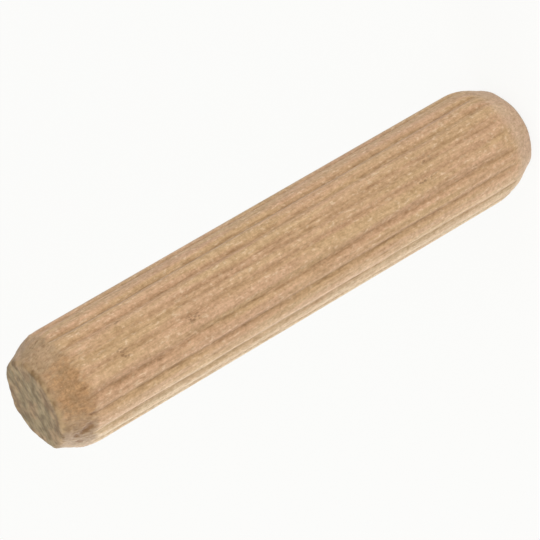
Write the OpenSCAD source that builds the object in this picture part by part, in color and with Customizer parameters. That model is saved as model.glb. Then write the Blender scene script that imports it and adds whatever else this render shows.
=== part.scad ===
// Fluted wooden dowel pin, standing on its base end with its axis on Z

/* [Pin] */
// Diameter over the lands
pin_d = 8; // [6:0.5:12]
// Length over both ends
pin_l = 40; // [30:1:60]

/* [Flutes] */
// Number of flutes pressed around the pin
flute_count = 20; // [12:1:20]
// Depth of a flute's valley below the lands
flute_depth = 0.22; // [0.15:0.01:0.3]
// Slope of a flute's sides, from a line through the axis
flute_slope = 38; // [30:1:45]
// Radius that rolls each land over into its flutes
shoulder_r = 0.18; // [0.1:0.01:0.25]

/* [Top end] */
// Length of the taper, along the pin
top_taper_l = 2.1; // [1.8:0.1:3]
// Slope of the taper, from the pin's axis
top_taper_slope = 25; // [20:1:30]
// Radius between the end face and the taper
top_face_round = 0.3; // [0.2:0.1:0.6]
// Radius between the taper and the lands
top_body_round = 3; // [0.5:0.5:4]

/* [Base end] */
// Length of the taper, along the pin
base_taper_l = 2.3; // [2.1:0.1:3]
// Slope of the taper, from the pin's axis
base_taper_slope = 33; // [25:1:35]
// Radius between the end face and the taper
base_face_round = 1.8; // [0.2:0.1:2]
// Radius between the taper and the lands
base_body_round = 5; // [0.5:0.5:5.5]

/* [Chipped top taper] */
// Depth of the splinter torn out of the taper
chip_depth = 0.16; // [0.1:0.01:0.3]
// Width of the splinter, around the pin
chip_w = 1.1; // [0.6:0.1:1.2]
// Length of the splinter, along the taper
chip_l = 0.45; // [0.2:0.05:0.8]
// Distance from the end face down to the middle of the splinter
chip_drop = 1.4; // [0.8:0.1:1.6]
// Direction of the chipped side, around the pin from +X
chip_side = 225; // [0:1:359]

/* [Hidden] */
$fn = 96;
past = 1;          // how far a cutting shape runs past what it cuts
arc_steps = 5;     // straight steps in each rounded corner of the ends
pin_r = pin_d / 2;
flute_turn = 360 / flute_count;

// A flute's sides run from its valley and touch the shoulders' circles, which
// touch the pin's own circle from inside. This is the angle from the middle of
// a flute to the land beside it.
valley_r = pin_r - flute_depth;
shoulder_at = pin_r - shoulder_r;
land_edge = flute_slope + asin((shoulder_r - valley_r * sin(flute_slope)) / shoulder_at);

function unit(v) = v / norm(v);
function polar(r, angle) = r * [cos(angle), sin(angle)];

// The arc of radius r that rounds the corner at b, coming from a and going to c
function corner(a, b, c, r) =
    let (
        to_a = unit(a - b),
        to_c = unit(c - b),
        half = acos(to_a * to_c) / 2,
        centre = b + unit(to_a + to_c) * r / sin(half),
        first = b + to_a * r / tan(half) - centre,
        last = b + to_c * r / tan(half) - centre
    )
    [for (i = [0 : arc_steps]) centre + r * unit(first * (arc_steps - i) + last * i)];

// One end's outline from its face up to the lands, as [radius, height from the face]
function end_outline(taper_l, slope, face_round, body_round) =
    let (
        face_edge = [pin_r - taper_l * tan(slope), 0],
        land_start = [pin_r, taper_l]
    )
    concat(
        corner([0, 0], face_edge, land_start, face_round),
        corner(face_edge, land_start, [pin_r, pin_l / 2], body_round)
    );

// The space of one flute, on the +X side of the pin: a V between two rounded shoulders
module flute_section() {
    valley = [valley_r, 0];
    side_way = polar(1, flute_slope);
    centre = polar(shoulder_at, land_edge);
    touch = valley + side_way * ((centre - valley) * side_way);
    outer = polar(pin_r + past, land_edge);
    difference() {
        polygon([
            valley, touch, centre, outer,
            [outer.x, -outer.y], [centre.x, -centre.y], [touch.x, -touch.y]
        ]);
        for (side = [-1, 1])
            translate([centre.x, side * centre.y]) circle(r = shoulder_r);
    }
}

// The pin cut across: lands lie on the X and Y axes, and flutes between them
module fluted_section() {
    difference() {
        circle(r = pin_r);
        for (i = [0 : flute_count - 1])
            rotate((i + 0.5) * flute_turn) flute_section();
    }
}

// Half of the pin cut lengthwise, without its flutes
module tapered_profile() {
    base = end_outline(base_taper_l, base_taper_slope, base_face_round, base_body_round);
    top = end_outline(top_taper_l, top_taper_slope, top_face_round, top_body_round);
    polygon(concat(
        [[0, 0]],
        base,
        [for (i = [len(top) - 1 : -1 : 0]) [top[i].x, pin_l - top[i].y]],
        [[0, pin_l]]
    ));
}

// A round-bottomed scoop that leaves the hollow of a torn-out splinter. Its arc
// crosses the taper's own circle chip_w apart, and it lies along the taper's slope.
module chip() {
    taper_r = pin_r - (top_taper_l - chip_drop) * tan(top_taper_slope);
    scoop_r = 1 / (8 * chip_depth / (chip_w * chip_w) - 1 / taper_r);
    rotate(chip_side)
        translate([taper_r, 0, pin_l - chip_drop])
            rotate([0, -top_taper_slope, 0])
                translate([scoop_r - chip_depth, 0, 0])
                    cylinder(r = scoop_r, h = chip_l, center = true);
}

module dowel_pin() {
    color("burlywood")
        difference() {
            intersection() {
                linear_extrude(pin_l) fluted_section();
                rotate_extrude() tapered_profile();
            }
            chip();
        }
}

dowel_pin();
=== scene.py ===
import math

import bmesh
import bpy
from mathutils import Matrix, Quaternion, Vector, noise


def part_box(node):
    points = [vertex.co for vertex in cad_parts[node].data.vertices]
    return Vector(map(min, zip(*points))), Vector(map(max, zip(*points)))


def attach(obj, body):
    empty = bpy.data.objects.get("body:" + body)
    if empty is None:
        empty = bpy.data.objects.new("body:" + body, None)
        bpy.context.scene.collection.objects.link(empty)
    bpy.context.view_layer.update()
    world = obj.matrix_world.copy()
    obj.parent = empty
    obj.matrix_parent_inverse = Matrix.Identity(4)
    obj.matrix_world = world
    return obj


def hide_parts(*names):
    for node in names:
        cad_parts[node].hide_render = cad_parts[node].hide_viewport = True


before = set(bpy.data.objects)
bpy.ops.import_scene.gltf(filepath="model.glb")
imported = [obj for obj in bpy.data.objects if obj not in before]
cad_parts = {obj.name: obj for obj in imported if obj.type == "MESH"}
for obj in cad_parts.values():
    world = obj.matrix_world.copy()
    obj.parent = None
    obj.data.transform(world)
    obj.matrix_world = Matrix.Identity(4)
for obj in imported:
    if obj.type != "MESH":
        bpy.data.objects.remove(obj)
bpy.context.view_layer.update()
pinLow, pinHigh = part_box("dowel_pin")
mm = 0.001  # Blender works in metres, the settings below are in millimetres and degrees
pinRadius = (pinHigh.x - pinLow.x) / 2 / mm
pinLength = (pinHigh.z - pinLow.z) / mm
facing = math.radians(279)  # the side of the pin that the camera looks at, turned from +X


def clamp(value, low=0.0, high=1.0):
    return min(high, max(low, value))


def smoothStep(low, high, value):
    t = clamp((value - low) / (high - low))
    return t * t * (3 - 2 * t)


# the smaller of two values, with the corner between them rounded off
def smoothMin(first, second, soft):
    near = max(soft - abs(first - second), 0) / soft
    return min(first, second) - near * near * soft / 4


# a hump that is 1 in its middle and eases to 0 at half its width
def bell(x, halfWidth):
    t = clamp(abs(x) / halfWidth)
    return (1 - t * t) ** 2


# a direction round the pin that is given in degrees from the facing side
def fromFacing(degrees):
    return facing + math.radians(degrees)


# how far one direction is turned from another, the short way round
def turnBetween(first, second):
    return (first - second + math.pi) % math.tau - math.pi


blank = {
    "stepsAround": 400,
    "topTaper": 2.11, "topSlope": 25.3, "topFaceRound": 0.2, "topBodyRound": 0.7,
    "baseTaper": 2.32, "baseSlope": 33, "baseFaceRound": 1.02, "baseBodyRound": 1.62,
    "roundSegments": 9,
    "runOut": 2.0,    # length past each taper that gets finer rings
    "bodyGap": 0.35, "runOutGap": 0.13, "taperGap": 0.09, "topFaceGap": 0.13, "baseFaceGap": 0.25,
    "hair": 1e-4,     # a length this small counts as nothing
    "turnPlaces": 4,  # directions that agree to this many places are one
}
topStart = pinLength - blank["topTaper"]  # the height where the top taper starts
topFace = pinRadius - blank["topTaper"] * math.tan(math.radians(blank["topSlope"]))
baseFace = pinRadius - blank["baseTaper"] * math.tan(math.radians(blank["baseSlope"]))


# how far apart the rings are on one stretch of the outline
def ringGap(stretch):
    low, high = sorted(v.co.z for v in stretch.verts)
    length = stretch.calc_length()
    if high < blank["hair"]:
        return blank["baseFaceGap"]
    if low > pinLength - blank["hair"]:
        return blank["topFaceGap"]
    if length > pinLength / 2:
        return blank["bodyGap"]
    if high - low > length - blank["hair"]:
        return blank["runOutGap"]
    return blank["taperGap"]


# half of the pin's outline, bevelled at its corners and spun into a solid
def turnBlank():
    outline = [  # each corner's radius, its height and how far its bevel reaches
        (0, 0, 0),
        (baseFace, 0, blank["baseFaceRound"]),
        (pinRadius, blank["baseTaper"], blank["baseBodyRound"]),
        (pinRadius, blank["baseTaper"] + blank["runOut"], 0),
        (pinRadius, topStart - blank["runOut"], 0),
        (pinRadius, topStart, blank["topBodyRound"]),
        (topFace, pinLength, blank["topFaceRound"]),
        (0, pinLength, 0),
    ]
    bm = bmesh.new()
    corners = [bm.verts.new((r, 0, z)) for r, z, reach in outline]
    for low, high in zip(corners, corners[1:]):
        bm.edges.new((low, high))
    for corner, (r, z, reach) in zip(corners, outline):
        if reach:
            bmesh.ops.bevel(bm, geom=[corner], offset=reach, offset_type='OFFSET', affect='VERTICES',
                            segments=blank["roundSegments"], profile=0.5, material=-1)
    for stretch in list(bm.edges):
        cuts = int(stretch.calc_length() / ringGap(stretch))
        if cuts:
            bmesh.ops.subdivide_edges(bm, edges=[stretch], cuts=cuts)
    bmesh.ops.spin(bm, geom=bm.verts[:] + bm.edges[:], cent=(0, 0, 0), axis=(0, 0, 1),
                   angle=math.tau, steps=blank["stepsAround"], use_merge=True)
    bmesh.ops.remove_doubles(bm, verts=bm.verts[:], dist=blank["hair"])
    bmesh.ops.recalc_face_normals(bm, faces=bm.faces[:])
    return bm


# A swing is a smooth random change along the pin: by how much and over what length. Its other two numbers
# say where its pattern is read, so that no two swings look alike.
flutes = {
    "count": 20,
    "depth": 0.18,
    "halfWidth": 0.5,
    "sharp": 0.35,      # from 0, a round-bottomed groove, to 1, a sharp one
    "sharpSide": 0.6,   # how full the sides of a sharp groove are
    "shade": 0.62,      # share of a flute's width that gets painted shade
    "pillow": 0.045,    # how much the lands round over towards the flutes
    "wander": {"by": 0.03, "over": 7, "apart": 7.3, "layer": 0},   # how far a flute strays sideways
    "uneven": {"by": 0.2, "over": 3.5, "apart": 3.1, "layer": 5},  # how much its depth changes
    "drift": [-0.1, -2.5, -2.9, -4.3, 2.5, 6, 2, 3, 1, -2, 0, 2, 3, 1, -1, -4, -7, -6.4, -1.8, -2.8],
    "strength": [0.8, 0.75, 0.95, 1.1, 1, 1, 0.9, 1, 0.8, 1, 0.7, 1, 1, 0.85, 1, 0.9, 1, 0.9, 1.05, 1.1],
    "topFade": 0.3, "topFadeLength": 2.5,    # how much shallower the flutes get towards the top taper
    "baseFade": 0.22, "baseFadeHeight": 22,  # how much shallower towards the base, and where that starts
    "doubled": 1,       # the flute where the roller slipped and pressed two narrower lines
    "doubleGap": 0.42, "doubleWidth": 0.6,
    "furrows": [-15.3, -29.5, -47, 101, -160],  # faint lines between the flutes, from the facing side
    # furrowShade is how much painted shade a furrow gets
    "furrowDepth": 0.035, "furrowWidth": 0.2, "furrowShade": 0.5,
    "furrowMiddle": 0.6,  # how strong the furrows are, between where they come and where they go
    "furrowBreaks": {"by": 1, "over": 2.5, "apart": 0, "layer": 40},
    "skin": 0.006, "skinAcross": 4, "skinAlong": 0.6,  # the pressed grain: depth, lumps in a millimetre
}
fluteAngles = [facing + math.tau * i / flutes["count"] + math.radians(drift)
               for i, drift in enumerate(flutes["drift"])]


def swing(how, z, row=0):
    return how["by"] * noise.noise(Vector((z / how["over"], row * how["apart"], how["layer"])))


# how much of a faint furrow runs along one direction
def furrowShare(turn):
    return max(bell(turnBetween(turn, fromFacing(side)) * pinRadius, flutes["furrowWidth"])
               for side in flutes["furrows"])


# what runs along the pin in one direction: which flute is nearest, how far its middle and that of the
# next one are along the surface, and how much of a furrow there is
def lineAlong(turn):
    gaps = sorted((abs(turnBetween(turn, angle)), i) for i, angle in enumerate(fluteAngles))
    which = gaps[0][1]
    away = turnBetween(turn, fluteAngles[which]) * pinRadius
    nextAway = gaps[1][0] * pinRadius
    return which, away, nextAway, furrowShare(turn)


# a flute cut across: a valley whose sides ease out onto the lands
def flutePress(x, halfWidth):
    t = clamp(abs(x) / halfWidth)
    sharp = (1 - t) ** 2 * (1 + flutes["sharpSide"] * t)
    return sharp * flutes["sharp"] + bell(x, halfWidth) * (1 - flutes["sharp"])


# how deep the surface is pressed in at one place, and how much painted shade that gives its valley
def fluteDepth(line, z):
    which, away, nextAway, furrow = line
    away += swing(flutes["wander"], z, which)
    pressed = flutes["strength"][which] * (1 + swing(flutes["uneven"], z, which))
    pressed *= 1 - flutes["topFade"] * smoothStep(topStart - flutes["topFadeLength"], topStart, z)
    pressed *= 1 - flutes["baseFade"] * (1 - smoothStep(blank["baseTaper"], flutes["baseFadeHeight"], z))
    darkWidth = flutes["halfWidth"] * flutes["shade"]
    if which == flutes["doubled"]:
        gap = flutes["doubleGap"] / 2
        width = flutes["halfWidth"] * flutes["doubleWidth"]
        groove = flutePress(away - gap, width) + flutePress(away + gap, width)
        shade = bell(abs(away) - gap, darkWidth)
    else:
        groove = flutePress(away, flutes["halfWidth"])
        shade = bell(away, darkWidth)
    land = (abs(away) + nextAway) / 2
    lean = 1 - clamp(abs(away) / land)
    furrow *= flutes["furrowMiddle"] + swing(flutes["furrowBreaks"], z)
    press = flutes["depth"] * pressed * groove + flutes["furrowDepth"] * furrow
    return press + flutes["pillow"] * lean * lean, max(shade * pressed, flutes["furrowShade"] * furrow)


ends = {
    "topReach": (-0.4, 0.2),    # the top taper's wear comes in between these heights from its start
    "baseReach": (-0.5, 0.5),   # and the base taper's between these
    "softEdge": 0.05,           # rounding where a taper cuts into the lands
    "cutDepth": (-0.02, 0.05),  # roughness comes in between these depths below the pressed surface
    "stainDepth": (-0.1, 0.2),  # and the taper's colour between these
    "stainClimb": (-0.6, 0.7),  # the top taper's colour also comes in between these heights from its start
    "warmDrop": 0.5,            # and this much lower on the warm sides
    "stainShares": (0.4, 0.6),  # how much of that colour comes by depth, and how much by height
    "tipDepth": 0.02, "tipWidth": 0.07,  # the painted highlight where a land runs out into the taper
    "ragged": 0.05, "raggedLumps": 0.9,  # how unevenly the tapers were cut, and lumps in a millimetre
    "torn": 0.03, "baseTorn": 0.012,     # roughness of the tapers, where the cutter lifted the fibres
    "tornMiddle": 0.5, "tornLumps": 5, "fineTorn": 0.6, "fineLumps": 11,
    "chipRough": 0.5, "chipLumps": 7,    # roughness inside a chip
    "darkChip": 0.045,          # a chip this deep is as dark as any
    "inner": 2,                 # hollows and torn wood fade out inside this radius
    "axis": 0.01,               # points inside this radius are the middle of an end
    "hollow": 1.5,              # how softly the edges of a hollow ease out
    "grainStart": 0.5,          # the end grain's colour comes in over this height below the top
    "rimStart": 0.5,            # share of the top face's radius where its rim starts
    "skew": 1.5,                # the top was sawn this much out of square, lower at the back
    "sawReach": (-0.2, -0.02),  # the saw marks come in between these heights from the top
    "sawDepth": 0.02, "sawTurn": 70, "sawPitch": 0.33, "sawAlong": 0.5, "sawLayer": 3,
    "scratches": 0.6, "scratchAcross": 6, "scratchAlong": 3, "scratchLayer": 8,
}
sawWay = fromFacing(ends["sawTurn"])

# where the pin differs round its sides, in wood colour, painted shade and painted light: turn from the
# facing side, half width
sides = {
    "warm": [(-5, 56), (170, 60)],   # browner on the top taper
    "taperShade": [(-60, 32), (125, 30)],  # painted shade on the top taper
    "pale": [(-82, 46)],             # painted light: paler all along the pin on this side
}

# dents and chips: turn from the facing side, height, half width, half height, depth (minus is a bump)
dents = [
    (-135, 39.9, 1.1, 0.9, 0.16),
    (-92, 39.4, 0.6, 0.6, -0.05),
    (172, 39.9, 0.6, 0.8, -0.2),
    (-104, 39.9, 0.5, 0.6, -0.08),
    (140, 39.9, 0.9, 0.8, 0.08),
    (82, 38.1, 0.6, 0.6, -0.11),
    (-80, 1.3, 1.0, 1.1, 0.12),
    (-67, 1.4, 0.8, 0.9, 0.07),
    (-84, 2.5, 0.6, 0.4, 0.08),
    (-58, 0.7, 0.6, 0.5, -0.04),
    (0, 0.4, 1.2, 0.5, -0.06),
    (80, 2.6, 1.2, 1.4, -0.09),
    (65, 0.9, 0.8, 0.8, -0.05),
]
chips = [
    (-49, 38.35, 0.36, 0.3, 0.07),
    (-53.5, 38.6, 0.35, 0.27, 0.08),
    (-57, 38.85, 0.3, 0.22, 0.05),
    (-61, 39.15, 0.32, 0.2, 0.08),
    (-36, 38.05, 0.15, 0.38, 0.05),
    (-10, 38.1, 0.1, 0.55, 0.04),
    (22, 39.4, 0.16, 0.25, 0.02),
    (-75, 38.9, 0.25, 0.3, 0.07),
    (118, 38.5, 0.24, 0.4, 0.04),
]

# groups of dark pores: turn, height, half width, half height, strength
poreGroups = [
    (0, 34.6, 0.5, 0.55, 2.2),
    (-4, 29.2, 0.45, 0.9, 1.5),
    (28, 33.8, 0.25, 0.6, 0.9),
    (16, 25.1, 0.3, 0.5, 0.9),
    (14, 9.0, 0.35, 0.6, 1.2),
    (-3, 9.7, 0.2, 1.6, 1.1),
    (-22, 32.8, 0.2, 1.2, 0.9),
    (110, 21, 0.4, 0.7, 1.2),
    (-150, 12, 0.5, 0.6, 1.3),
    (170, 30, 0.3, 1.2, 1.0),
]

# what the finish reads at each point, from 0 to about 1
marks = [
    "valley",                # painted shade in a flute
    "topCut", "baseCut",     # on a taper
    "endGrain",              # on the sawn top
    "torn",                  # in a chip
    "rise",                  # how far up the top taper
    "tipHighlight",                   # painted highlight where a land runs out into the top taper
    "warm", "taperShade", "pale",  # on those sides of the pin: browner wood, painted shade, painted light
    "rim",                   # towards the edge of the top face
    "pored",                 # in a group of pores
]


# how much one direction belongs to the listed sides
def sideShare(turn, which):
    return max(bell(turnBetween(turn, fromFacing(side)), math.radians(wide))
               for side, wide in sides[which])


# how deep the listed hollows are at one place
def hollowDepth(hollows, turn, r, z):
    total = 0
    for hollowTurn, height, wide, tall, deep in hollows:
        dz = (z - height) / tall
        if abs(dz) < 1:
            dx = turnBetween(turn, fromFacing(hollowTurn)) * max(r, ends["inner"]) / wide
            total += deep * max(0, 1 - dx * dx - dz * dz) ** ends["hollow"]
    return total


# how far up the top taper a height is
def riseAt(z):
    return clamp((z - topStart) / blank["topTaper"])


def topMarks(v):
    r = math.hypot(v.co.x, v.co.y)
    return {
        "endGrain": clamp((v.co.z - (pinLength - ends["grainStart"])) / ends["grainStart"]),
        "rim": smoothStep(ends["rimStart"], 1, r / topFace),
        "rise": riseAt(v.co.z),
    }


# presses the flutes and cuts the tapers at one point, and gives the marks that this leaves
def pressAndCut(v, turn, line):
    r = math.hypot(v.co.x, v.co.y)
    z = v.co.z
    inward = min(1, r / ends["inner"])
    top = smoothStep(*ends["topReach"], z - topStart)
    base = 1 - smoothStep(*ends["baseReach"], z - blank["baseTaper"])
    press, shade = fluteDepth(line, z)
    skin = Vector((v.co.x * flutes["skinAcross"], v.co.y * flutes["skinAcross"], z * flutes["skinAlong"]))
    pressedR = pinRadius - press + flutes["skin"] * noise.noise(skin)
    cutR = r + (top + base) * ends["ragged"] * noise.noise(v.co * ends["raggedLumps"])
    cutR -= hollowDepth(dents, turn, r, z) * inward
    below = pressedR - cutR
    cut = smoothStep(*ends["cutDepth"], below)
    stain = smoothStep(*ends["stainDepth"], below)
    torn = ends["tornMiddle"] + noise.noise(v.co * ends["tornLumps"])
    torn += ends["fineTorn"] * noise.noise(v.co * ends["fineLumps"])
    chipped = hollowDepth(chips, turn, r, z)
    newR = smoothMin(cutR, pressedR, ends["softEdge"])
    newR -= (ends["torn"] * top + ends["baseTorn"] * base) * cut * torn * inward
    newR -= chipped * (1 + ends["chipRough"] * noise.noise(v.co * ends["chipLumps"]))
    warm = sideShare(turn, "warm")
    climbed = smoothStep(*ends["stainClimb"], z - topStart + ends["warmDrop"] * warm)
    byDepth, byHeight = ends["stainShares"]
    v.co.x *= newR / r
    v.co.y *= newR / r
    return {
        # painted shade in the flutes, gone where a taper cuts them
        "valley": shade * (1 - cut),
        "topCut": byDepth * stain * top + byHeight * climbed,
        "baseCut": stain * base,
        "torn": clamp(chipped / ends["darkChip"]),
        "tipHighlight": bell(below + ends["tipDepth"], ends["tipWidth"]) * top * (1 - shade),
        "warm": warm,
        "taperShade": sideShare(turn, "taperShade"),
        "pale": sideShare(turn, "pale"),
        "pored": clamp(hollowDepth(poreGroups, turn, r, z)),
    }


# saw marks across the top face, then the whole top leans out of square
def sawTop(v):
    across = v.co.x * math.sin(sawWay) - v.co.y * math.cos(sawWay)
    along = v.co.x * math.cos(sawWay) + v.co.y * math.sin(sawWay)
    towards = v.co.x * math.cos(facing) + v.co.y * math.sin(facing)
    onFace = smoothStep(*ends["sawReach"], v.co.z - pinLength)
    lean = riseAt(v.co.z) * math.tan(math.radians(ends["skew"]))
    saw = noise.noise(Vector((across / ends["sawPitch"], along * ends["sawAlong"], ends["sawLayer"])))
    scratch = Vector((across * ends["scratchAcross"], along * ends["scratchAlong"], ends["scratchLayer"]))
    saw += ends["scratches"] * noise.noise(scratch)
    v.co.z += onFace * ends["sawDepth"] * saw
    v.co.z -= lean * (topFace - towards)


def shapePin(bm):
    layers = {mark: bm.verts.layers.float.new(mark) for mark in marks}
    lines = {}  # points above one another share a line along the pin
    for v in bm.verts:
        turn = math.atan2(v.co.y, v.co.x)
        key = round(turn, blank["turnPlaces"])
        if key not in lines:
            lines[key] = lineAlong(turn)
        found = topMarks(v)
        if math.hypot(v.co.x, v.co.y) > ends["axis"]:
            found.update(pressAndCut(v, turn, lines[key]))
        for mark, value in found.items():
            v[layers[mark]] = value
        sawTop(v)


def makeDowel():
    bm = turnBlank()
    triangles = sum(len(face.verts) - 2 for face in bm.faces)
    print("blank turned:", len(bm.verts), "points,", triangles, "triangles")
    shapePin(bm)
    bmesh.ops.scale(bm, vec=(mm, mm, mm), verts=bm.verts[:])
    mesh = bpy.data.meshes.new("dowelPin")
    bm.to_mesh(mesh)
    bm.free()
    mesh.shade_smooth()
    dowel = bpy.data.objects.new("dowelPin", mesh)
    bpy.context.collection.objects.link(dowel)
    print("flutes pressed and ends tapered")
    return dowel


def join(tree, socket, value):
    if isinstance(value, bpy.types.NodeSocket):
        tree.links.new(value, socket)
    else:
        socket.default_value = value


# colours are written as 0 to 255, the way a paint program shows them
def paint(colour):
    linear = [(c / 255 / 12.92 if c < 11 else ((c / 255 + 0.055) / 1.055) ** 2.4) for c in colour]
    return (*linear, 1)


def calc(tree, how, first, second=0.0, third=0.0):
    node = tree.nodes.new('ShaderNodeMath')
    node.operation = how
    for socket, value in zip(node.inputs, (first, second, third)):
        join(tree, socket, value)
    return node.outputs[0]


def times(tree, first, second):
    return calc(tree, 'MULTIPLY', first, second)


# noise lies about a half: this spreads it the given amount about another middle
def spread(tree, value, amount, middle=0.0):
    return calc(tree, 'MULTIPLY_ADD', value, amount, middle - amount / 2)


def blend(tree, amount, first, second, how='MIX'):
    node = tree.nodes.new('ShaderNodeMix')
    node.data_type = 'RGBA'
    node.blend_type = how
    for slot, value in ((0, amount), (6, first), (7, second)):  # 6 and 7 are the node's two colours
        join(tree, node.inputs[slot], value)
    return node.outputs[2]


# eases from one number to another as a value passes through the band
def remap(tree, value, band, newLow=0.0, newHigh=1.0):
    node = tree.nodes.new('ShaderNodeMapRange')
    node.interpolation_type = 'SMOOTHSTEP'
    for socket, number in zip(node.inputs, (value, *band, newLow, newHigh)):
        join(tree, socket, number)
    return node.outputs[0]


def attribute(tree, name):
    node = tree.nodes.new('ShaderNodeAttribute')
    node.attribute_name = name
    return node.outputs['Fac']


# the place on the pin, measured in steps of the pattern's size
def placeOn(tree, pattern):
    offset = pattern.get("offset", 0) * mm
    place = tree.nodes.new('ShaderNodeTexCoord').outputs['Object']
    mapping = tree.nodes.new('ShaderNodeMapping')
    mapping.vector_type = 'TEXTURE'
    mapping.inputs['Location'].default_value = (offset, offset, offset)
    mapping.inputs['Rotation'].default_value = (0, 0, fromFacing(pattern.get("turn", 0)))
    mapping.inputs['Scale'].default_value = [side * mm for side in pattern["size"]]
    tree.links.new(place, mapping.inputs['Vector'])
    return mapping.outputs[0]


# noise whose lumps are the pattern's size
def grain(tree, pattern):
    lumps = tree.nodes.new('ShaderNodeTexNoise')
    lumps.inputs['Scale'].default_value = 1
    lumps.inputs['Detail'].default_value = pattern.get("detail", 2)
    lumps.inputs['Roughness'].default_value = pattern.get("rough", 0.5)
    tree.links.new(placeOn(tree, pattern), lumps.inputs['Vector'])
    return lumps.outputs[0]


# noise that eases from one number to another as it passes through the pattern's band
def banded(tree, pattern, low=0.0, high=1.0):
    return remap(tree, grain(tree, pattern), pattern["band"], low, high)


# dots scattered at the spacing of the pattern's size
def scatter(tree, pattern):
    cells = tree.nodes.new('ShaderNodeTexVoronoi')
    cells.inputs['Scale'].default_value = 1
    tree.links.new(placeOn(tree, pattern), cells.inputs['Vector'])
    return remap(tree, cells.outputs['Distance'], pattern["band"], 1, 0)


# A pattern has a size in millimetres, across the pin in the direction of its turn, square to that, and up
# the pin. Its offset in millimetres keeps it apart from the others, and its band is where it comes in.
layerTurn = 70  # the growth layers run this way, from the facing side
beech = {
    "straw": (206, 169, 124), "pink": (209, 167, 129),
    "patches": {"size": (0.8, 0.6, 8), "turn": layerTurn, "band": (0.35, 0.65)},
    "fleck": (166, 124, 84), "fleckShare": 0.15,
    "flecks": {"size": (0.12, 0.2, 0.5), "turn": layerTurn, "detail": 1, "offset": 40,
               "band": (0.58, 0.72)},
    "tuft": (232, 202, 164), "tuftShare": 0.55,
    "tufts": {"size": (0.18, 0.18, 0.4), "turn": layerTurn, "detail": 1, "offset": 70,
              "band": (0.57, 0.72)},
    # painted light: the side that the bounce light reaches is painted paler, in streaks
    "pale": (219, 196, 160), "paleShare": 0.8, "paleUneven": (0.6, 1.15),
    "paleStreaks": {"size": (0.3, 0.3, 4), "turn": layerTurn, "offset": 65, "band": (0.35, 0.65)},
    "pore": (126, 91, 56), "poreShare": 0.62,
    "pores": {"size": (0.18, 0.18, 0.26), "turn": layerTurn, "band": (0.31, 0.62)},
    # painted shade in the flutes' valleys, broken into dashes
    "valley": (153, 114, 71), "valleyShare": 0.5, "valleyUneven": (0.45, 1.35),
    "valleyDashes": {"size": (0.2, 0.2, 1.1), "rough": 0.6, "offset": 35, "band": (0.35, 0.65)},
    "darker": (0.74, 0.69, 0.61), "lighter": (1.31, 1.38, 1.51),  # how the grain's tone tints the wood
    "specks": {"size": (0.24, 0.24, 0.3), "detail": 3, "rough": 0.75},
    "fibres": {"size": (0.12, 0.12, 1.8)},
    "streaks": {"size": (0.45, 0.35, 5), "turn": layerTurn, "offset": 90},
    "layers": {"size": (8, 0.7, 70), "turn": layerTurn, "detail": 1},
    "speckTone": 1.8, "fibreTone": 0.8, "streakTone": 0.35, "layerTone": 0.06,  # how much each one shows
    "roughness": 0.66,
    "specular": 0.4,
    "fuzz": 0.15, "fuzzRoughness": 0.5,  # the loose fibres' pale sheen
    "bump": 0.06, "bumpShare": 0.5,      # height of the fibres, in millimetres, and how much of it shows
    "speckBump": 1.2, "fibreBump": 0.7,
}

# where the cutter went across the fibres at the two ends
cutWood = {
    "brown": (160, 121, 78), "orange": (187, 142, 95),
    "mottle": {"size": (0.45, 0.45, 0.6), "turn": 20, "detail": 3, "rough": 0.7, "band": (0.38, 0.62)},
    "greyPink": (184, 151, 115), "greyBrown": (168, 139, 103),
    "greys": {"size": (0.9, 0.9, 0.9), "offset": 30, "band": (0.35, 0.65)},
    # painted shade for the top taper's shaded sides
    "taperShade": (144, 112, 74),
    "warmRise": (0.4, 1.3), "warmLeft": 0.2,  # the brown fades up the taper, down to this share
    "warmMottle": 1.2,                        # how much the mottle breaks up the edges of the brown
    "tornDark": (132, 94, 54), "tornShare": 0.8, "poreShare": 0.4,
    "pores": {"size": (0.13, 0.13, 1.2), "turn": layerTurn, "detail": 1, "offset": 80,
              "band": (0.58, 0.72)},
    "ragged": {"size": (0.35, 0.35, 0.6), "detail": 3, "rough": 0.6, "offset": 20},
    "topRagged": 0.7, "topBand": (0.4, 1.2), "topShare": 0.85,
    # a painted highlight where a land runs out into the top taper
    "tipHighlightColour": (222, 194, 158), "tipBand": (0.4, 0.65), "tipShare": 0.5,
    "rosy": (211, 181, 151), "baseShare": 0.6,
    "scores": {"size": (1.1, 1.1, 0.13), "offset": 25}, "scoreTone": 0.7,  # lines round the taper
}

# the sawn top face: end grain colours, painted darker as painted shade for the light the face lacks
sawnEnd = {
    "dark": (130, 108, 70), "pale": (187, 163, 121),
    "warmDark": (136, 105, 67), "warmPale": (195, 162, 119),
    "lumps": {"size": (0.7, 0.62, 1), "turn": layerTurn + 15}, "lumpTone": 0.8, "lumpMiddle": 0.3,
    "lines": {"size": (0.8, 0.3, 1), "turn": layerTurn + 15, "offset": 45}, "lineTone": 0.4,
    "mottleBand": (0.32, 0.68),
    "warmth": {"size": (1.2, 1.6, 2), "turn": layerTurn + 15, "offset": 50},
    "rimWarmth": 0.15, "warmBand": (0.43, 0.7),
    "pores": {"size": (0.3, 0.5, 1), "turn": layerTurn + 15, "detail": 1, "offset": 60,
              "band": (0.5, 0.7)},
    "poreShare": 0.35,
    "spill": {"size": (0.9, 0.9, 0.5), "detail": 1, "offset": 10},  # its colour spills over the rim
    "spillShare": 0.6, "spillRagged": 0.7, "spillBand": (0.85, 1.6),
    "calm": 0.75,  # how much less of the fibres it shows
}


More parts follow.
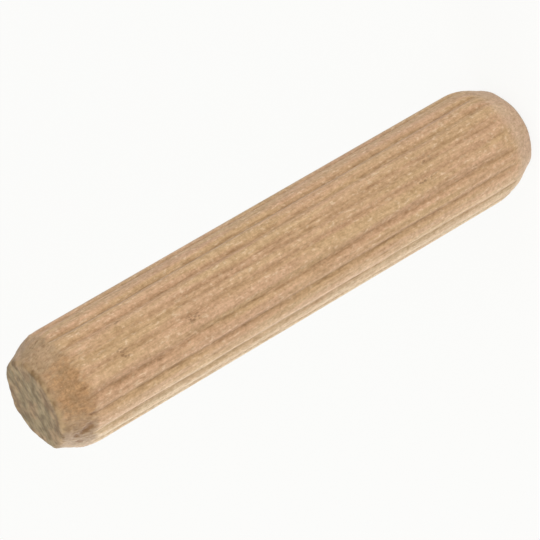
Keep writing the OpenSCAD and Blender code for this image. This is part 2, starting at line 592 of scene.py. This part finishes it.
# planed side grain: broad patches of two colours, then flecks, tufts, painted light that makes one side
# paler, and groups of pores
def planedWood(tree):
    colour = blend(tree, banded(tree, beech["patches"]), paint(beech["straw"]), paint(beech["pink"]))
    flecks = banded(tree, beech["flecks"], 0, beech["fleckShare"])
    colour = blend(tree, flecks, colour, paint(beech["fleck"]))
    tufts = banded(tree, beech["tufts"], 0, beech["tuftShare"])
    colour = blend(tree, tufts, colour, paint(beech["tuft"]))
    # painted light makes the pale side paler, unevenly
    uneven = banded(tree, beech["paleStreaks"], *beech["paleUneven"])
    pale = times(tree, attribute(tree, "pale"), times(tree, uneven, beech["paleShare"]))
    colour = blend(tree, pale, colour, paint(beech["pale"]))
    pores = times(tree, scatter(tree, beech["pores"]), beech["poreShare"])
    return blend(tree, times(tree, attribute(tree, "pored"), pores), colour, paint(beech["pore"]))


# painted shade darkens the flutes' valleys, in dashes
def valleyWood(tree, colour):
    dashes = banded(tree, beech["valleyDashes"], *beech["valleyUneven"])
    valley = times(tree, attribute(tree, "valley"), beech["valleyShare"])
    return blend(tree, times(tree, valley, dashes), colour, paint(beech["valley"]))


# the tapers cut across the fibres: the top orange brown on two sides and greyer between, with painted shade
# on its shaded sides and a painted highlight where the lands run out into it, the base rosy
def taperWood(tree, colour, ragged, pores):
    mottle = grain(tree, cutWood["mottle"])
    grey = banded(tree, cutWood["greys"])
    grey = blend(tree, grey, paint(cutWood["greyPink"]), paint(cutWood["greyBrown"]))
    # painted shade darkens the taper's greyer wood on its shaded sides
    grey = blend(tree, attribute(tree, "taperShade"), grey, paint(cutWood["taperShade"]))
    browned = remap(tree, mottle, cutWood["mottle"]["band"])
    browned = blend(tree, browned, paint(cutWood["brown"]), paint(cutWood["orange"]))
    faded = remap(tree, attribute(tree, "rise"), cutWood["warmRise"], 1, cutWood["warmLeft"])
    warm = times(tree, attribute(tree, "warm"), faded)
    warm = calc(tree, 'ADD', warm, spread(tree, mottle, cutWood["warmMottle"]))
    topWood = blend(tree, remap(tree, warm, (0, 1)), grey, browned)
    topWood = blend(tree, pores, topWood, paint(cutWood["tornDark"]))
    topAmount = calc(tree, 'MULTIPLY_ADD', ragged, cutWood["topRagged"], attribute(tree, "topCut"))
    topAmount = remap(tree, topAmount, cutWood["topBand"], 0, cutWood["topShare"])
    colour = blend(tree, topAmount, colour, topWood)
    # painted highlight along where the lands run out into the top taper
    tipHighlight = remap(tree, ragged, cutWood["tipBand"], 0, cutWood["tipShare"])
    colour = blend(tree, times(tree, attribute(tree, "tipHighlight"), tipHighlight), colour, paint(cutWood["tipHighlightColour"]))
    base = times(tree, attribute(tree, "baseCut"), cutWood["baseShare"])
    return blend(tree, base, colour, paint(cutWood["rosy"]))


# end grain on the top face: olive grey in places and browner in others, mottled and scored by the saw, and
# painted darker as painted shade
def sawnWood(tree, colour, ragged):
    lumps = spread(tree, grain(tree, sawnEnd["lumps"]), sawnEnd["lumpTone"], sawnEnd["lumpMiddle"])
    mottle = calc(tree, 'MULTIPLY_ADD', grain(tree, sawnEnd["lines"]), sawnEnd["lineTone"], lumps)
    warm = grain(tree, sawnEnd["warmth"])
    warm = calc(tree, 'MULTIPLY_ADD', attribute(tree, "rim"), sawnEnd["rimWarmth"], warm)
    warm = remap(tree, warm, sawnEnd["warmBand"])
    dark = blend(tree, warm, paint(sawnEnd["dark"]), paint(sawnEnd["warmDark"]))
    pale = blend(tree, warm, paint(sawnEnd["pale"]), paint(sawnEnd["warmPale"]))
    wood = blend(tree, remap(tree, mottle, sawnEnd["mottleBand"]), dark, pale)
    pores = banded(tree, sawnEnd["pores"], 0, sawnEnd["poreShare"])
    wood = blend(tree, pores, wood, paint(sawnEnd["dark"]))
    spill = times(tree, ragged, sawnEnd["spillRagged"])
    spill = calc(tree, 'MULTIPLY_ADD', grain(tree, sawnEnd["spill"]), sawnEnd["spillShare"], spill)
    amount = remap(tree, calc(tree, 'ADD', attribute(tree, "endGrain"), spill), sawnEnd["spillBand"])
    return blend(tree, amount, colour, wood)


# how dark or light the grain is at each place, about a half, and calmer on the sawn end
def woodTone(tree, specks, fibres):
    tone = spread(tree, specks, beech["speckTone"])
    streaks = grain(tree, beech["streaks"])
    layers = grain(tree, beech["layers"])
    for lumps, share in ((fibres, "fibreTone"), (streaks, "streakTone"), (layers, "layerTone")):
        tone = calc(tree, 'ADD', tone, spread(tree, lumps, beech[share]))
    calm = calc(tree, 'MULTIPLY_ADD', attribute(tree, "endGrain"), -sawnEnd["calm"], 1)
    return calc(tree, 'MULTIPLY_ADD', tone, calm, 0.5)


def beechMaterial():
    mat = bpy.data.materials.new("beech")
    mat.use_nodes = True
    tree = mat.node_tree
    shader = tree.nodes["Principled BSDF"]
    specks = grain(tree, beech["specks"])
    scores = spread(tree, grain(tree, cutWood["scores"]), cutWood["scoreTone"])
    scores = times(tree, attribute(tree, "topCut"), scores)
    fibres = calc(tree, 'ADD', grain(tree, beech["fibres"]), scores)
    ragged = grain(tree, cutWood["ragged"])
    pores = banded(tree, cutWood["pores"], 0, cutWood["poreShare"])

    colour = valleyWood(tree, planedWood(tree))
    colour = taperWood(tree, colour, ragged, pores)
    colour = sawnWood(tree, colour, ragged)
    torn = times(tree, attribute(tree, "torn"), cutWood["tornShare"])
    colour = blend(tree, torn, colour, paint(cutWood["tornDark"]))
    tone = woodTone(tree, specks, fibres)
    tint = blend(tree, tone, (*beech["darker"], 1), (*beech["lighter"], 1))
    tree.links.new(blend(tree, 1.0, colour, tint, 'MULTIPLY'), shader.inputs['Base Color'])
    shader.inputs['Roughness'].default_value = beech["roughness"]
    shader.inputs['Specular IOR Level'].default_value = beech["specular"]
    shader.inputs['Sheen Weight'].default_value = beech["fuzz"]
    shader.inputs['Sheen Roughness'].default_value = beech["fuzzRoughness"]

    height = times(tree, fibres, beech["fibreBump"])
    height = calc(tree, 'MULTIPLY_ADD', specks, beech["speckBump"], height)
    bump = tree.nodes.new('ShaderNodeBump')
    bump.inputs['Strength'].default_value = beech["bumpShare"]
    bump.inputs['Distance'].default_value = beech["bump"] * mm
    tree.links.new(calc(tree, 'SUBTRACT', height, pores), bump.inputs['Height'])
    tree.links.new(bump.outputs[0], shader.inputs['Normal'])
    return mat


dowel = makeDowel()
dowel.data.materials.append(beechMaterial())
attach(dowel, "root")
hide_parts("dowel_pin")
print("dowel finished in beech")


studio = {
    "floorSize": 3000,
    "floorColour": (0.92, 0.92, 0.91, 1),
    "backdrop": (1, 1, 0.985, 1),
    "shadowKept": 0.1,  # how much of the floor's own shading the camera sees
    "roomLight": 0.6,
}


# the camera sees one shader, and every other ray meets the other
def forCamera(tree, seen, unseen):
    rays = tree.nodes.new('ShaderNodeLightPath')
    either = tree.nodes.new('ShaderNodeMixShader')
    tree.links.new(rays.outputs['Is Camera Ray'], either.inputs['Fac'])
    tree.links.new(unseen, either.inputs[1])
    tree.links.new(seen, either.inputs[2])
    return either.outputs[0]


def paperMaterial():
    mat = bpy.data.materials.new("paper")
    mat.use_nodes = True
    tree = mat.node_tree
    tree.nodes.clear()
    matt = tree.nodes.new('ShaderNodeBsdfDiffuse')
    matt.inputs['Color'].default_value = studio["floorColour"]
    glow = tree.nodes.new('ShaderNodeEmission')
    glow.inputs['Color'].default_value = studio["backdrop"]
    seen = tree.nodes.new('ShaderNodeMixShader')
    seen.inputs['Fac'].default_value = 1 - studio["shadowKept"]
    tree.links.new(matt.outputs[0], seen.inputs[1])
    tree.links.new(glow.outputs[0], seen.inputs[2])
    out = tree.nodes.new('ShaderNodeOutputMaterial')
    tree.links.new(forCamera(tree, seen.outputs[0], matt.outputs[0]), out.inputs['Surface'])
    return mat


def makeFloor():
    bm = bmesh.new()
    bmesh.ops.create_grid(bm, x_segments=1, y_segments=1, size=studio["floorSize"] * mm)
    mesh = bpy.data.meshes.new("floor")
    bm.to_mesh(mesh)
    bm.free()
    floor = bpy.data.objects.new("floor", mesh)
    bpy.context.collection.objects.link(floor)
    mesh.materials.append(paperMaterial())


def makeRoom():
    room = bpy.data.worlds.new("room")
    bpy.context.scene.world = room
    room.use_nodes = True
    tree = room.node_tree
    tree.nodes.clear()
    light = tree.nodes.new('ShaderNodeBackground')
    light.inputs['Strength'].default_value = studio["roomLight"]
    backdrop = tree.nodes.new('ShaderNodeBackground')
    backdrop.inputs['Color'].default_value = studio["backdrop"]
    out = tree.nodes.new('ShaderNodeOutputWorld')
    tree.links.new(forCamera(tree, backdrop.outputs[0], light.outputs[0]), out.inputs['Surface'])


middle = Vector((0, 0, pinLength * mm / 2))

# each soft light: turn from the facing side, height, distance and size in millimetres, watts
lights = {
    "keyLight": {"turn": 0, "height": 20, "distance": 350, "size": 300, "watts": 0.27},
    "highLight": {"turn": 0, "height": 58, "distance": 350, "size": 300, "watts": 0.2},
    "sideLight": {"turn": 38, "height": 20, "distance": 350, "size": 300, "watts": 0.13},
    "bounceLight": {"turn": -124, "height": 0, "distance": 300, "size": 200, "watts": 0.95},
}


# the way from the pin's middle to a place, by its turn from the facing side and its height in degrees
def wayTo(turn, height):
    around = fromFacing(turn)
    rise = math.radians(height)
    return Vector((math.cos(rise) * math.cos(around), math.cos(rise) * math.sin(around), math.sin(rise)))


def softLight(name, light):
    lamp = bpy.data.lights.new(name, 'AREA')
    lamp.shape = 'DISK'
    lamp.size = light["size"] * mm
    lamp.energy = light["watts"]
    stand = bpy.data.objects.new(name, lamp)
    way = wayTo(light["turn"], light["height"])
    stand.location = middle + way * light["distance"] * mm
    stand.rotation_euler = way.to_track_quat('Z', 'Y').to_euler()
    bpy.context.collection.objects.link(stand)


camera = {
    "tilt": 26.5,    # looks down on the standing pin by this much
    "slant": 30.35,  # and is rolled, so that the pin lies across the picture at this slant
    "distance": 226.2,
    "right": 0.68, "up": 0.57,  # the pin's middle lies this far right of the picture's middle, and above it
    "lens": 232.67, "sensor": 36,
    "clipStart": 10, "clipEnd": 50000,
}


def placeCamera():
    data = bpy.data.cameras.new("camera")
    data.lens = camera["lens"]
    data.sensor_width = camera["sensor"]
    data.clip_start = camera["clipStart"] * mm
    data.clip_end = camera["clipEnd"] * mm
    viewer = bpy.data.objects.new("camera", data)
    roll = Quaternion((0, 0, 1), -math.radians(90 + camera["slant"]))
    stance = wayTo(0, camera["tilt"]).to_track_quat('Z', 'Y') @ roll
    aside = Vector((-camera["right"], -camera["up"], camera["distance"]))
    viewer.rotation_mode = 'QUATERNION'
    viewer.rotation_quaternion = stance
    viewer.location = middle + stance @ (aside * mm)
    bpy.context.collection.objects.link(viewer)
    bpy.context.scene.camera = viewer


makeFloor()
makeRoom()
for name, light in lights.items():
    softLight(name, light)
placeCamera()
bpy.context.scene.view_settings.view_transform = 'Standard'
print("studio lit")
